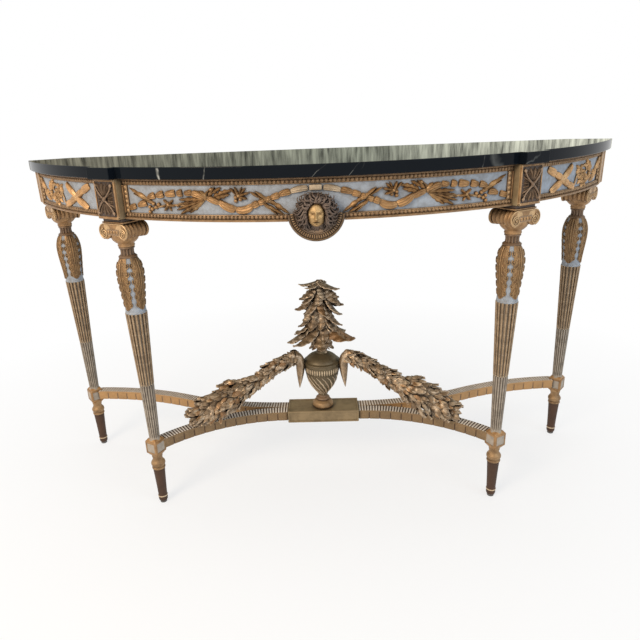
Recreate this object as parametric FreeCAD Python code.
import FreeCAD, Part
import math
import os

# Demilune console table. The plan is a bow: one circular arc carries the frieze, the legs and the stone top.
# Millimetres. Origin on the floor under the middle of the table's box; +X right, +Y to the wall, +Z up.

V = FreeCAD.Vector
ORIGIN = V(0, 0, 0)
UP = V(0, 0, 1)

# Fits and cutting
glue_line = 0.1
dowel_clearance = 0.1
cut_overrun = 20.0

# Plan: radii from the arc's centre, which lies behind the wall side; legs stand a little inside the frieze
arc_setback = 382.0
frieze_radius = 884.0
front_leg_inset = 13.0
front_leg_angle = 30.7
front_leg_turn = 29.0
back_leg_inset = 39.5
back_leg_angle = 58.6
back_leg_turn = 50.0

# Stone top
top_thickness = 25.0
top_overhang = 12.0
top_side_overhang = 2.0
top_arris = 1.5

# Frieze
apron_height = 88.0
rail_thickness = 24.0
moulding_height = 14.0
moulding_projection = 8.0
moulding_fillet = 5.0
moulding_edge = 2.0
back_rail_inset = 6.0
back_rail_drop = 10.0
tenon_length = 22.0
tenon_thickness = 10.0
tenon_height = 58.0

# Dies: the square blocks of the frieze above the legs
die_width = 66.0
die_back_margin = 34.0
front_die_projection = 26.0
back_die_projection = 7.0
rosette_width = 58.0
rosette_height = 76.0
rosette_thickness = 5.0
rosette_recess = 4.0
rosette_relief = 6.0
rosette_radius = 27.0
rosette_petals = 8

# Pendant disc and mask at the middle of the front
medallion_radius = 59.0
medallion_drop = 41.5
medallion_thickness = 14.0
medallion_rim_width = 8.0
medallion_rim_relief = 3.0
mask_relief = 40.0
mask_width = 52.0
mask_face_height = 64.0
mask_lift = 16.0
hair_radius = 56.0
hair_relief = 24.0
hair_locks = 13

# Legs, from the floor up
glide_height = 6.0
glide_radius = 8.5
glide_nail_radius = 1.5
glide_nail_length = 12.0
foot_height = 102.0
foot_tip_radius = 11.5
foot_top_radius = 15.0
foot_tip_round = 3.0
collar_height = 49.0
collar_radius = 17.5
collar_ring_height = 8.0
block_size = 38.0
block_panel = 27.0
block_panel_depth = 1.5
reeded_height = 162.0
fluted_height = 196.0
bulb_height = 134.0
neck_height = 25.0
shaft_bottom_radius = 13.0
shaft_break_radius = 17.5
shaft_top_radius = 25.3
bulb_radius = 32.3
neck_radius = 16.0
flute_count = 16
capital_height = 68.0
abacus_height = 12.0
abacus_width = 62.0
cushion_height = 32.0
cushion_width = 89.0
cushion_depth = 68.0
volute_radius = 13.5
volute_lap = 3.0
volute_sink = 3.0
echinus_radius = 33.0
echinus_base_radius = 18.0

# Dowels
capital_dowel_radius = 8.0
capital_dowel_in_die = 30.0
capital_dowel_in_shaft = 40.0
leg_dowel_radius = 5.0
leg_dowel_in_shaft = 30.0
leg_dowel_in_block = 12.0
leg_dowel_in_foot = 40.0
arm_dowel_radius = 4.0
arm_dowel_in_block = 13.0
arm_dowel_in_arm = 15.0

# Stretcher
arm_width = 30.0
arm_height = 27.0
arm_drop = 3.0
plinth_width = 200.0
plinth_depth = 78.0
plinth_height = 35.0
plinth_rise = 5.0
plinth_to_wall = 204.0
plinth_arris = 2.0

# Urn, lid and foliage on the plinth
urn_foot_height = 36.0
urn_foot_radius = 29.0
urn_body_height = 99.0
urn_radius = 50.0
urn_lid_height = 35.0
urn_lid_radius = 51.5
foliage_height = 205.0
foliage_radius = 104.0
foliage_leaves = 11
rod_radius = 4.0
rod_in_foliage = 60.0

# Leaf garlands from the urn down to the front arms
garland_inner_reach = 86.0
garland_outer_reach = 368.0
garland_rise = 168.0
garland_radius = 45.0
garland_leaves = 10
drop_radius = 10.0
drop_bite = 1.0
drop_hang = 90.0
drop_tip_radius = 1.2

# Hand-picked shares of the sizes above
flute_depth_share = 0.16
reed_height_share = 0.08
bulb_height_shares = (0.0, 0.05, 0.13, 0.32, 0.55, 0.74, 0.88, 0.97, 1.0)
bulb_radius_shares = (0.81, 0.82, 0.80, 0.88, 0.98, 1.0, 0.88, 0.70, 0.66)
neck_height_shares = (0.0, 0.3, 0.65, 0.9, 1.0)
neck_radius_shares = (1.32, 1.1, 1.0, 1.06, 1.12)
collar_height_shares = (0.0, 0.12, 0.4, 0.68, 0.82, 0.92, 1.0)
collar_radius_shares = (0.8, 0.93, 1.0, 0.86, 0.7, 0.72, 0.86)
echinus_height_shares = (0.0, 0.12, 0.2, 0.45, 0.75, 1.0)
echinus_radius_shares = (0.0, 0.03, 0.02, 0.2, 0.62, 1.0)
urn_foot_height_shares = (0.0, 0.16, 0.3, 0.55, 0.8, 1.0)
urn_foot_radius_shares = (1.0, 1.0, 0.84, 0.62, 0.4, 0.35)
urn_height_shares = (0.0, 0.08, 0.17, 0.35, 0.55, 0.75, 0.9, 1.0)
urn_radius_shares = (0.25, 0.31, 0.44, 0.68, 0.85, 0.95, 0.98, 0.98)
lid_height_shares = (0.0, 0.12, 0.3, 0.55, 0.8, 1.0)
lid_radius_shares = (0.98, 1.0, 0.92, 0.7, 0.4, 0.28)
foliage_height_shares = (0.0, 0.1, 0.2, 0.27, 0.37, 0.46, 0.55, 0.66, 0.75, 0.84, 0.93, 1.0)
foliage_radius_shares = (0.14, 0.24, 1.0, 0.8, 0.58, 0.5, 0.66, 0.48, 0.4, 0.5, 0.3, 0.06)
foliage_notch_share = 0.7
foliage_depth_share = 0.75
garland_run_shares = (0.0, 0.08, 0.23, 0.37, 0.49, 0.62, 0.77, 0.89, 0.97, 1.0)
garland_height_shares = (0.93, 0.88, 0.75, 0.59, 0.51, 0.39, 0.26, 0.155, 0.09, 0.07)
garland_radius_shares = (0.4, 0.43, 0.55, 0.62, 0.74, 1.0, 0.95, 0.72, 0.42, 0.16)
garland_notch_share = 0.8
drop_reach_shares = (1.0, 0.62, 0.22, 0.0, 0.0, 0.1, 0.18)
drop_fall_shares = (0.0, -0.04, 0.04, 0.2, 0.45, 0.74, 1.0)
drop_radius_shares = (1.0, 0.95, 0.9, 1.0, 0.95, 0.55, 0.0)
rosette_notch_share = 0.72
rosette_crown_share = 0.5
hair_notch_share = 0.86
hair_crown_share = 0.72
face_depth_share = 1.2

# Places worked out from the sizes
front_leg_radius = frieze_radius - front_leg_inset
back_leg_radius = frieze_radius - back_leg_inset
moulding_radius = frieze_radius + moulding_projection
top_radius = moulding_radius + top_overhang
mask_reach = frieze_radius + medallion_thickness + mask_relief
depth = mask_reach - arc_setback
wall_y = depth / 2
arc_y = wall_y + arc_setback
foot_low = glide_height
collar_low = foot_low + foot_height
block_low = collar_low + collar_height
shaft_low = block_low + block_size
capital_low = shaft_low + reeded_height + fluted_height + bulb_height + neck_height
apron_low = capital_low + capital_height
apron_high = apron_low + apron_height
table_height = apron_high + top_thickness
arm_high = shaft_low - arm_drop
arm_low = arm_high - arm_height
plinth_high = arm_high + plinth_rise
plinth_low = plinth_high - plinth_height
plinth_y = wall_y - plinth_to_wall
ARC_AXIS = V(0, arc_y, 0)
SIDES = (("left", -1), ("right", 1))
LEGS = []
for row, leg_radius, leg_angle, leg_turn, die_projection in (
    ("front", front_leg_radius, front_leg_angle, front_leg_turn, front_die_projection),
    ("back", back_leg_radius, back_leg_angle, back_leg_turn, back_die_projection),
):
    for side, sign in SIDES:
        LEGS.append((row, side, leg_radius, sign * leg_angle, sign * leg_turn, die_projection))

pieces = {}


def on_arc(radius, angle, height=0):
    """Point at a radius and an angle from the table's middle line, seen from the arc's centre."""
    turn = math.radians(angle)
    return V(radius * math.sin(turn), arc_y - radius * math.cos(turn), height)


def set_on_arc(shape, radius, angle, turn=None):
    """Copy of a shape modelled at the origin with -Y outwards, stood on the arc, square to it or turned."""
    placed = shape.copy()
    placed.rotate(ORIGIN, UP, angle if turn is None else turn)
    placed.translate(on_arc(radius, angle))
    return placed


def box(x_low, x_high, y_low, y_high, z_low, z_high):
    """Plain box between two corners."""
    return Part.makeBox(x_high - x_low, y_high - y_low, z_high - z_low, V(x_low, y_low, z_low))


def post(radius, low, high, x=0, y=0):
    """Upright cylinder between two heights."""
    return Part.makeCylinder(radius, high - low, V(x, y, low))


def peg(radius, start, end):
    """Cylinder between two points."""
    return Part.makeCylinder(radius, start.distanceToPoint(end), start, end - start)


def arc_solid(outline, start, end):
    """Outline of (radius, height) points swept about the arc's centre between two angles."""
    points = [V(0, arc_y - radius, height) for radius, height in outline]
    face = Part.Face(Part.makePolygon(points + points[:1]))
    face.rotate(ARC_AXIS, UP, start)
    return face.revolve(ARC_AXIS, UP, end - start)


def arc_bar(inner, outer, low, high, start, end):
    """Curved bar of rectangular section."""
    return arc_solid([(inner, low), (outer, low), (outer, high), (inner, high)], start, end)


def turning(low, heights, radii):
    """Solid turned about the upright axis, with a smooth outline through the given heights and radii."""
    points = [V(radius, 0, low + height) for height, radius in zip(heights, radii)]
    curve = Part.BSplineCurve()
    curve.interpolate(points)
    base = V(0, 0, points[0].z)
    crown = V(0, 0, points[-1].z)
    edges = [curve.toShape()]
    edges.append(Part.makeLine(points[-1], crown))
    edges.append(Part.makeLine(crown, base))
    edges.append(Part.makeLine(base, points[0]))
    return Part.Face(Part.Wire(edges)).revolve(ORIGIN, UP, 360)


def scaled(shares, size):
    """Shares times the size that they follow."""
    return [share * size for share in shares]


def scalloped_ring(radius, height, count, swell):
    """Ring of arcs: hollow flutes for a negative swell, rounded reeds for a positive one."""
    edges = []
    for index in range(count):
        corners = []
        for step, reach in ((0, radius), (0.5, radius + swell), (1, radius)):
            turn = 2 * math.pi * (index + step) / count
            corners.append(V(reach * math.cos(turn), reach * math.sin(turn), height))
        edges.append(Part.Arc(*corners).toShape())
    return Part.Wire(edges)


def star_ring(radius, notch_share, count, shift, place):
    """Pointed ring of leaf tips and notches; place turns a flat offset into a point."""
    points = []
    for index in range(2 * count):
        turn = math.pi * index / count
        reach = radius if (index + shift) % 2 == 0 else radius * notch_share
        points.append(place(reach * math.cos(turn), reach * math.sin(turn)))
    return Part.makePolygon(points + points[:1])


def skin(rings):
    """Straight-ruled solid through a row of rings."""
    return Part.makeLoft(rings, True, True)


def joined(first, *others):
    """One solid from overlapping or touching solids."""
    return first.multiFuse(list(others)).removeSplitter()


def die_box(radius, projection):
    """Box of a die in the leg's own frame, where -Y looks outwards."""
    half = die_width / 2
    face = frieze_radius + projection - radius
    return box(-half, half, -face, die_back_margin, apron_low, apron_high)


def tenon_box(radius, side, grow=0):
    """Tenon that a rail puts into a die, in the leg's own frame."""
    middle = radius - frieze_radius + rail_thickness / 2
    half = tenon_thickness / 2 + grow
    low = (apron_low + apron_high - tenon_height) / 2 - grow
    high = low + tenon_height + 2 * grow
    ends = sorted((side * (die_width / 2 - tenon_length - grow), side * (die_width / 2 + tenon_thickness)))
    return box(*ends, middle - half, middle + half, low, high)


def arm_start_y(row):
    """Middle line of an arm where it leaves the plinth: the front arm lies before the back one."""
    return plinth_y + (-1 if row == "front" else 1) * arm_width / 2


def curved_bar(centre_x, centre_y, radius, start, end):
    """Level bar of the arms' section along an arc about an upright axis."""
    half = arm_width / 2
    corners = []
    for reach, height in ((-half, arm_low), (half, arm_low), (half, arm_high), (-half, arm_high)):
        corners.append(V(centre_x + radius + reach, centre_y, height))
    face = Part.Face(Part.makePolygon(corners + corners[:1]))
    axis = V(centre_x, centre_y, 0)
    face.rotate(axis, UP, start)
    return face.revolve(axis, UP, end - start)


def make_top():
    """Stone slab: bowed front that breaks forward over the front dies, canted rear corners, straight back."""
    low = apron_high
    side = die_width / 2 + top_side_overhang
    tip_reach = math.sqrt(top_radius**2 - side**2)
    turn = math.radians(back_leg_angle)
    corner_reach = (arc_y + side * math.sin(turn) - wall_y) / math.cos(turn)
    tip = on_arc(tip_reach, back_leg_angle, low) + V(side * math.cos(turn), side * math.sin(turn), 0)
    corner = on_arc(corner_reach, back_leg_angle, low) + V(side * math.cos(turn), side * math.sin(turn), 0)
    nose = on_arc(top_radius, 0, low)
    mirrored = [V(-point.x, point.y, point.z) for point in (tip, corner)]
    edges = [Part.Arc(mirrored[0], nose, tip).toShape()]
    edges.append(Part.makeLine(tip, corner))
    edges.append(Part.makeLine(corner, mirrored[1]))
    edges.append(Part.makeLine(mirrored[1], mirrored[0]))
    slab = Part.Face(Part.Wire(edges)).extrude(V(0, 0, top_thickness))
    face = frieze_radius + front_die_projection + top_overhang - front_leg_radius
    brow = box(-side, side, -face, die_back_margin, low, low + top_thickness)
    brows = [set_on_arc(brow, front_leg_radius, sign * front_leg_angle) for _, sign in SIDES]
    slab = joined(slab, *brows)
    rim = [edge for edge in slab.Edges if abs(edge.BoundBox.ZLength) < top_arris]
    return slab.makeChamfer(top_arris, rim)


def make_frieze():
    """Curved rails tenoned into four dies, a straight back rail, and the gilt mouldings of the panels."""
    die_cutters = []
    for row, side, radius, angle, _, projection in LEGS:
        die_cutters.append(set_on_arc(die_box(radius, projection), radius, angle))
    spans = (
        ("front", -front_leg_angle, front_leg_angle, (front_leg_radius, 1), (front_leg_radius, -1)),
        ("left", -back_leg_angle, -front_leg_angle, (back_leg_radius, 1), (front_leg_radius, -1)),
        ("right", front_leg_angle, back_leg_angle, (front_leg_radius, 1), (back_leg_radius, -1)),
    )
    strips = []
    for name, start, end, first, last in spans:
        rail = arc_bar(frieze_radius - rail_thickness, frieze_radius, apron_low, apron_high, start, end)
        rail = rail.cut(Part.makeCompound(die_cutters))
        tenons = [set_on_arc(tenon_box(*first), first[0], start), set_on_arc(tenon_box(*last), last[0], end)]
        pieces["front_rail" if name == "front" else name + "_side_rail"] = joined(rail, *tenons)
        inner = frieze_radius + glue_line
        shoulder = frieze_radius + moulding_edge
        for level, base, way in (("upper", apron_high, -1), ("lower", apron_low, 1)):
            outline = [(inner, base), (moulding_radius, base)]
            outline.append((moulding_radius, base + way * moulding_fillet))
            outline.append((shoulder, base + way * moulding_height))
            outline.append((inner, base + way * moulding_height))
            moulding = arc_solid(outline, start, end).cut(Part.makeCompound(die_cutters))
            pieces[name + "_" + level + "_moulding"] = moulding
        for leg, angle in ((first, start), (last, end)):
            face = frieze_radius - leg[0]
            ends = sorted((leg[1] * die_width / 2, leg[1] * (die_width / 2 + moulding_height)))
            strip = box(*ends, -face - moulding_edge - moulding_fillet, 0,
                        apron_low + moulding_height, apron_high - moulding_height)
            strip = set_on_arc(strip, leg[0], angle)
            strips.append(strip.cut(arc_bar(0, inner, apron_low, apron_high, start, end)))
    pieces["end_mouldings"] = Part.makeCompound(strips)
    for row, side, radius, angle, _, projection in LEGS:
        die = die_box(radius, projection)
        for way in (-1, 1):
            if row == "front" or way * angle < 0:
                die = die.cut(tenon_box(radius, way, dowel_clearance))
        die = die.cut(post(capital_dowel_radius + dowel_clearance, apron_low - cut_overrun,
                           apron_low + capital_dowel_in_die + dowel_clearance))
        if row == "front":
            die = die.cut(rosette_pocket(radius, projection))
            pieces["front_" + side + "_rosette"] = set_on_arc(make_rosette(radius, projection), radius, angle)
        pieces[row + "_" + side + "_die"] = set_on_arc(die, radius, angle)
    back_x = on_arc(back_leg_radius, back_leg_angle).x
    back_high = wall_y - back_rail_inset
    board = box(-back_x, back_x, back_high - rail_thickness, back_high,
                apron_low + back_rail_drop, apron_high)
    pieces["back_rail"] = board.cut(Part.makeCompound(die_cutters))


def rosette_pocket(radius, projection):
    """Pocket in a front die for its carved plaque."""
    face = frieze_radius + projection - radius
    middle = (apron_low + apron_high) / 2
    half_width = rosette_width / 2 + glue_line
    half_height = rosette_height / 2 + glue_line
    return box(-half_width, half_width, -face - cut_overrun, -face + rosette_recess,
               middle - half_height, middle + half_height)


def make_rosette(radius, projection):
    """Carved plaque: a flat plate with a raised flower."""
    face = frieze_radius + projection - radius
    middle = (apron_low + apron_high) / 2
    back = -face + rosette_recess
    plate_face = back - rosette_thickness
    plate = box(-rosette_width / 2, rosette_width / 2, plate_face, back,
                middle - rosette_height / 2, middle + rosette_height / 2)
    rings = []
    for level, share in ((plate_face + glue_line, 1), (plate_face - rosette_relief, rosette_crown_share)):
        rings.append(star_ring(rosette_radius * share, rosette_notch_share, rosette_petals, 0,
                               lambda a, b, y=level: V(a, y, middle + b)))
    return joined(plate, skin(rings))


def make_mask():
    """Half-round pendant disc with a raised rim, and a head with a ring of hair standing on it."""
    centre_z = apron_low - medallion_drop + medallion_radius
    ground = arc_y - frieze_radius
    face = ground - medallion_thickness
    toward = V(0, -1, 0)
    centre = V(0, ground + moulding_projection, centre_z)
    disc = Part.makeCylinder(medallion_radius, centre.y - face, centre, toward)
    rim = Part.makeCylinder(medallion_radius, medallion_rim_relief, V(0, face, centre_z), toward)
    rim = rim.cut(Part.makeCylinder(medallion_radius - medallion_rim_width, medallion_rim_relief,
                                    V(0, face, centre_z), toward))
    disc = joined(disc, rim)
    top = apron_low + moulding_height
    reach = medallion_radius + cut_overrun
    above = box(-reach, reach, face - cut_overrun, centre.y + cut_overrun, top, top + 2 * reach)
    rail_room = post(frieze_radius + glue_line, apron_low - glue_line, top + reach, 0, arc_y)
    pieces["medallion"] = disc.cut(above).cut(rail_room)
    behind_centre = centre + V(0, cut_overrun, 0)
    gap = Part.makeCylinder(medallion_radius + glue_line, 2 * (centre.y - face), behind_centre, toward)
    for part in pieces.pop("front_lower_moulding").cut(gap).Solids:
        side = "left" if part.CenterOfMass.x < 0 else "right"
        pieces["front_" + side + "_lower_moulding"] = part
    head_z = apron_low + mask_lift
    rows = ((centre.y, 1, 0), (face - hair_relief / 2, 1, 1), (face - hair_relief, hair_crown_share, 0))
    rings = []
    for level, share, shift in rows:
        rings.append(star_ring(hair_radius * share, hair_notch_share, hair_locks, shift,
                               lambda a, b, y=level: V(a, y, head_z + b)))
    hair = skin(rings)
    egg = Part.makeSphere(1)
    stretch = FreeCAD.Matrix()
    depth_radius = face_depth_share * mask_relief
    stretch.scale(mask_width / 2, depth_radius, mask_face_height / 2)
    egg = egg.transformGeometry(stretch)
    egg.translate(V(0, arc_y - mask_reach + depth_radius, head_z))
    behind = box(-2 * reach, 2 * reach, centre.y, arc_y, 0, table_height)
    head = joined(hair, egg).cut(rail_room).cut(behind).cut(disc_room(centre, face, top))
    pieces["mask_head"] = max(head.Solids, key=lambda solid: solid.Volume)


def disc_room(centre, face, top):
    """Room that the pendant disc takes behind the head."""
    toward = V(0, -1, 0)
    thick = centre.y - face + medallion_rim_relief
    room = Part.makeCylinder(medallion_radius + glue_line, thick + glue_line, centre, toward)
    reach = medallion_radius + cut_overrun
    return room.cut(box(-reach, reach, face - reach, centre.y + reach, top + glue_line, top + 2 * reach))


def lathe(points):
    """Solid turned about the upright axis from a straight-sided outline of (radius, height) points."""
    corners = [V(radius, 0, height) for radius, height in points]
    return Part.Face(Part.makePolygon(corners + corners[:1])).revolve(ORIGIN, UP, 360)


def make_glide():
    """Disc under a foot with its nail."""
    return joined(post(glide_radius, 0, glide_height),
                  post(glide_nail_radius, glide_height, glide_height + glide_nail_length))


def make_foot():
    """Tapered foot with a rounded tip."""
    high = foot_low + foot_height
    outline = [(0, foot_low), (foot_tip_radius - foot_tip_round, foot_low)]
    outline += [(foot_tip_radius, foot_low + foot_tip_round), (foot_top_radius, high), (0, high)]
    foot = lathe(outline)
    nail = post(glide_nail_radius + dowel_clearance, foot_low, foot_low + glide_nail_length + dowel_clearance)
    dowel = post(leg_dowel_radius + dowel_clearance, high - leg_dowel_in_foot - dowel_clearance, high)
    return foot.cut(nail).cut(dowel)


def make_collar():
    """Ring and flattened ball between the foot and the block."""
    ball_low = collar_low + collar_ring_height
    ball_height = collar_height - collar_ring_height
    ball = turning(ball_low, scaled(collar_height_shares, ball_height),
                   scaled(collar_radius_shares, collar_radius))
    collar = joined(post(collar_radius, collar_low, ball_low), ball)
    return collar.cut(post(leg_dowel_radius + dowel_clearance, collar_low, block_low))


def make_block():
    """Square block with sunk panels on its three outer faces, where the stretcher's arm comes in behind."""
    half = block_size / 2
    block = box(-half, half, -half, half, block_low, shaft_low)
    margin = (block_size - block_panel) / 2
    panel = box(-block_panel / 2, block_panel / 2, -half, -half + block_panel_depth,
                block_low + margin, shaft_low - margin)
    for turn in (-90, 0, 90):
        sunk = panel.copy()
        sunk.rotate(ORIGIN, UP, turn)
        block = block.cut(sunk)
    sink = leg_dowel_in_block + dowel_clearance
    top_hole = post(leg_dowel_radius + dowel_clearance, shaft_low - sink, shaft_low)
    low_hole = post(leg_dowel_radius + dowel_clearance, block_low, block_low + sink)
    return block.cut(top_hole).cut(low_hole)


def make_shaft():
    """Tapered shaft: reeds below, flutes above, a leaf-carved bulb and a narrow neck."""
    break_z = shaft_low + reeded_height
    bulb_z = break_z + fluted_height
    neck_z = bulb_z + bulb_height
    reeds = []
    for radius, height in ((shaft_bottom_radius, shaft_low), (shaft_break_radius, break_z)):
        swell = radius * reed_height_share
        reeds.append(scalloped_ring(radius - swell, height, flute_count, swell))
    flutes = []
    for radius, height in ((shaft_break_radius, break_z), (shaft_top_radius, bulb_z)):
        flutes.append(scalloped_ring(radius, height, flute_count, -radius * flute_depth_share))
    bulb = turning(bulb_z, scaled(bulb_height_shares, bulb_height), scaled(bulb_radius_shares, bulb_radius))
    neck = turning(neck_z, scaled(neck_height_shares, neck_height), scaled(neck_radius_shares, neck_radius))
    shaft = joined(skin(reeds), skin(flutes), bulb, neck)
    low_hole = post(leg_dowel_radius + dowel_clearance, shaft_low,
                    shaft_low + leg_dowel_in_shaft + dowel_clearance)
    top_hole = post(capital_dowel_radius + dowel_clearance,
                    capital_low - capital_dowel_in_shaft - dowel_clearance, capital_low)
    return shaft.cut(low_hole).cut(top_hole)


def make_capital():
    """Ionic capital: round echinus, two volute rolls under a slab, and an abacus."""
    abacus_low = apron_low - abacus_height
    cushion_low = abacus_low - cushion_height
    volute_x = cushion_width / 2 - volute_radius
    volute_z = cushion_low + volute_radius
    slab_low = volute_z + volute_radius - volute_lap
    reach = cushion_depth / 2
    half = abacus_width / 2
    abacus = box(-half, half, -half, half, abacus_low, apron_low)
    slab = box(-cushion_width / 2, cushion_width / 2, -reach, reach, slab_low, abacus_low)
    fill = box(-volute_x, volute_x, volute_sink - reach, reach - volute_sink, volute_z, slab_low)
    rolls = []
    for _, sign in SIDES:
        eye_x = sign * volute_x
        rolls.append(peg(volute_radius, V(eye_x, -reach, volute_z), V(eye_x, reach, volute_z)))
    swells = scaled(echinus_radius_shares, echinus_radius - echinus_base_radius)
    radii = [echinus_base_radius + swell for swell in swells]
    echinus = turning(capital_low, scaled(echinus_height_shares, volute_z - capital_low), radii)
    capital = joined(slab, abacus, fill, echinus, *rolls)
    return capital.cut(post(capital_dowel_radius + dowel_clearance, capital_low, apron_low))


def make_legs():
    """Four legs of five pieces each, with their glides and dowels."""
    makers = {
        "foot": make_foot,
        "collar": make_collar,
        "block": make_block,
        "shaft": make_shaft,
        "capital": make_capital,
    }
    glides = []
    dowels = {
        "capital_dowels": post(capital_dowel_radius, capital_low - capital_dowel_in_shaft,
                               apron_low + capital_dowel_in_die),
        "block_dowels": post(leg_dowel_radius, shaft_low - leg_dowel_in_block,
                             shaft_low + leg_dowel_in_shaft),
        "foot_dowels": post(leg_dowel_radius, collar_low - leg_dowel_in_foot, block_low + leg_dowel_in_block),
    }
    for row, side, radius, angle, turn, _ in LEGS:
        for name, maker in makers.items():
            pieces[row + "_" + side + "_" + name] = set_on_arc(maker(), radius, angle, turn)
        glides.append(set_on_arc(make_glide(), radius, angle))
    pieces["foot_glides"] = Part.makeCompound(glides)
    for name, dowel in dowels.items():
        group = [set_on_arc(dowel, radius, angle) for _, _, radius, angle, _, _ in LEGS]
        pieces[name] = Part.makeCompound(group)


def front_arm_radius():
    """Radius of a front arm: square to the plinth's end where it starts, and on the leg's axis at its end."""
    leg = on_arc(front_leg_radius, front_leg_angle)
    run = leg.x - plinth_width / 2
    fall = arm_start_y("front") - leg.y
    return (run**2 + fall**2) / (2 * fall)


def front_arm(sign):
    """Front arm: one arc from the plinth forward to the front leg, and the way that it leaves the leg."""
    leg = on_arc(front_leg_radius, front_leg_angle)
    radius = front_arm_radius()
    sweep = math.degrees(math.asin((leg.x - plinth_width / 2) / radius))
    start = 90 if sign < 0 else 90 - sweep
    bar = curved_bar(sign * plinth_width / 2, arm_start_y("front") - radius, radius, start, start + sweep)
    turn = math.radians(sweep)
    return bar, V(-sign * math.cos(turn), math.sin(turn), 0)


def back_arm(sign):
    """Back arm: two equal arcs in an S from the plinth to the rear leg, level with the wall at both ends."""
    leg = on_arc(back_leg_radius, back_leg_angle)
    run = leg.x - plinth_width / 2
    rise = leg.y - arm_start_y("back")
    radius = (run**2 + rise**2) / (4 * rise)
    sweep = math.degrees(math.asin(run / 2 / radius))
    first_start = -90 if sign > 0 else -90 - sweep
    last_start = 90 if sign > 0 else 90 - sweep
    first = curved_bar(sign * plinth_width / 2, arm_start_y("back") + radius, radius,
                       first_start, first_start + sweep)
    last = curved_bar(sign * leg.x, leg.y - radius, radius, last_start, last_start + sweep)
    return joined(first, last), V(-sign, 0, 0)


def make_stretcher():
    """Plinth and four curved arms, doweled to the plinth and to the leg blocks."""
    half = plinth_width / 2
    plinth = box(-half, half, plinth_y - plinth_depth / 2, plinth_y + plinth_depth / 2,
                 plinth_low, plinth_high)
    plinth = plinth.makeChamfer(plinth_arris, plinth.Edges)
    mid_z = (arm_low + arm_high) / 2
    pegs = []
    for row, side, leg_radius, angle, turn, _ in LEGS:
        sign = 1 if side == "right" else -1
        bar, way = front_arm(sign) if row == "front" else back_arm(sign)
        axis = on_arc(leg_radius, angle, mid_z)
        slant = way.getAngle(V(math.sin(math.radians(turn)), -math.cos(math.radians(turn)), 0))
        face = block_size / 2 / max(abs(math.cos(slant)), abs(math.sin(slant)))
        start_y = arm_start_y(row)
        ends = (
            (axis + way * (face - arm_dowel_in_block), axis + way * (face + arm_dowel_in_arm)),
            (V(sign * (half - arm_dowel_in_block), start_y, mid_z),
             V(sign * (half + arm_dowel_in_arm), start_y, mid_z)),
        )
        block_name = row + "_" + side + "_block"
        half_block = block_size / 2
        block_room = box(-half_block, half_block, -half_block, half_block, block_low, shaft_low)
        bar = bar.cut(set_on_arc(block_room, leg_radius, angle, turn))
        for near, far in ends:
            slack = (far - near).normalize() * dowel_clearance
            room = peg(arm_dowel_radius + dowel_clearance, near - slack, far + slack)
            bar = bar.cut(room)
            pieces[block_name] = pieces[block_name].cut(room)
            plinth = plinth.cut(room)
            pegs.append(peg(arm_dowel_radius, near, far))
        pieces[row + "_" + side + "_arm"] = bar
    pieces["arm_dowels"] = Part.makeCompound(pegs)
    return plinth


def make_urn(plinth):
    """Turned urn with a domed lid and a bush of leaves, drawn down on the plinth by one rod."""
    body_low = plinth_high + urn_foot_height
    lid_low = body_low + urn_body_height
    leaf_low = lid_low + urn_lid_height
    rings = []
    for index, (rise, reach) in enumerate(zip(foliage_height_shares, foliage_radius_shares)):
        height = leaf_low + rise * foliage_height
        rings.append(star_ring(reach * foliage_radius, foliage_notch_share, foliage_leaves, index,
                               lambda a, b, z=height: V(a, b * foliage_depth_share, z)))
    parts = {
        "urn_foot": turning(plinth_high, scaled(urn_foot_height_shares, urn_foot_height),
                            scaled(urn_foot_radius_shares, urn_foot_radius)),
        "urn_body": turning(body_low, scaled(urn_height_shares, urn_body_height),
                            scaled(urn_radius_shares, urn_radius)),
        "urn_lid": turning(lid_low, scaled(lid_height_shares, urn_lid_height),
                           scaled(lid_radius_shares, urn_lid_radius)),
        "foliage_finial": skin(rings),
    }
    rod_high = leaf_low + rod_in_foliage
    room = post(rod_radius + dowel_clearance, plinth_low - cut_overrun,
                rod_high + dowel_clearance, 0, plinth_y)
    for node, shape in parts.items():
        shape.translate(V(0, plinth_y, 0))
        pieces[node] = shape.cut(room)
    pieces["stretcher_plinth"] = plinth.cut(room)
    pieces["urn_rod"] = post(rod_radius, plinth_low, rod_high, 0, plinth_y)


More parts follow.
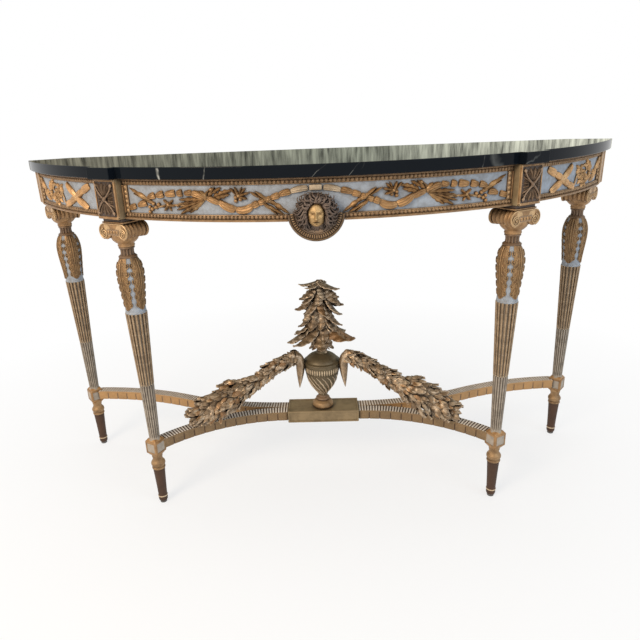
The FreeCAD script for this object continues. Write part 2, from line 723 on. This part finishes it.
def garland_line(sign):
    """Level direction of a garland, from the urn's axis to the front arm under its outer end."""
    run = garland_outer_reach - plinth_width / 2
    radius = front_arm_radius()
    end_y = arm_start_y("front") - radius + math.sqrt(radius**2 - run**2)
    return V(sign * garland_outer_reach, end_y - plinth_y, 0).normalize()


def ring_row(stations, line, notch_share):
    """Leaf rings square to a path of (reach, height, radius) stations in the upright plane of a line."""
    across = UP.cross(line)
    points = [V(0, plinth_y, height) + line * reach for reach, height, _ in stations]
    rings = []
    for index, (point, station) in enumerate(zip(points, stations)):
        before = points[max(index - 1, 0)]
        after = points[min(index + 1, len(points) - 1)]
        along = after - before
        if index == 0:
            along.z = 0
        lift = along.cross(across).normalize()
        rings.append(star_ring(station[2], notch_share, garland_leaves, index,
                               lambda a, b, p=point, u=lift: p + across * a + u * b))
    return rings


def make_garlands():
    """Leaf garlands resting on the front arms, each with a hooked drop against the urn's lid."""
    seat = urn_lid_radius + drop_radius - drop_bite
    body_low = plinth_high + urn_foot_height
    lid_high = body_low + urn_body_height + urn_lid_height
    lid_room = post(urn_lid_radius + glue_line, plinth_high, lid_high, 0, plinth_y)
    for side, sign in SIDES:
        line = garland_line(sign)
        run = garland_outer_reach / abs(line.x) - garland_inner_reach
        stations = []
        for along, rise, reach in zip(garland_run_shares, garland_height_shares, garland_radius_shares):
            stations.append((garland_inner_reach + along * run, arm_high + rise * garland_rise,
                             reach * garland_radius))
        garland = skin(ring_row(stations, line, garland_notch_share))
        under = box(-garland_outer_reach - garland_radius, garland_outer_reach + garland_radius,
                    -wall_y, wall_y, plinth_low, arm_high)
        pieces[side + "_garland"] = garland.cut(under)
        top = stations[0][1]
        stations = []
        for along, fall, reach in zip(drop_reach_shares, drop_fall_shares, drop_radius_shares):
            stations.append((seat + along * (garland_inner_reach - seat), top - fall * drop_hang,
                             drop_tip_radius + reach * drop_radius))
        pieces[side + "_garland_drop"] = skin(ring_row(stations, line, 1)).cut(lid_room)


make_frieze()
make_mask()
pieces["marble_top"] = make_top()
make_legs()
make_urn(make_stretcher())
make_garlands()

os.makedirs("parts", exist_ok=True)
for node, shape in pieces.items():
    shape.exportStep("parts/" + node + ".step")
    print(node, len(shape.Solids), shape.isValid(), round(shape.Volume / 1000))
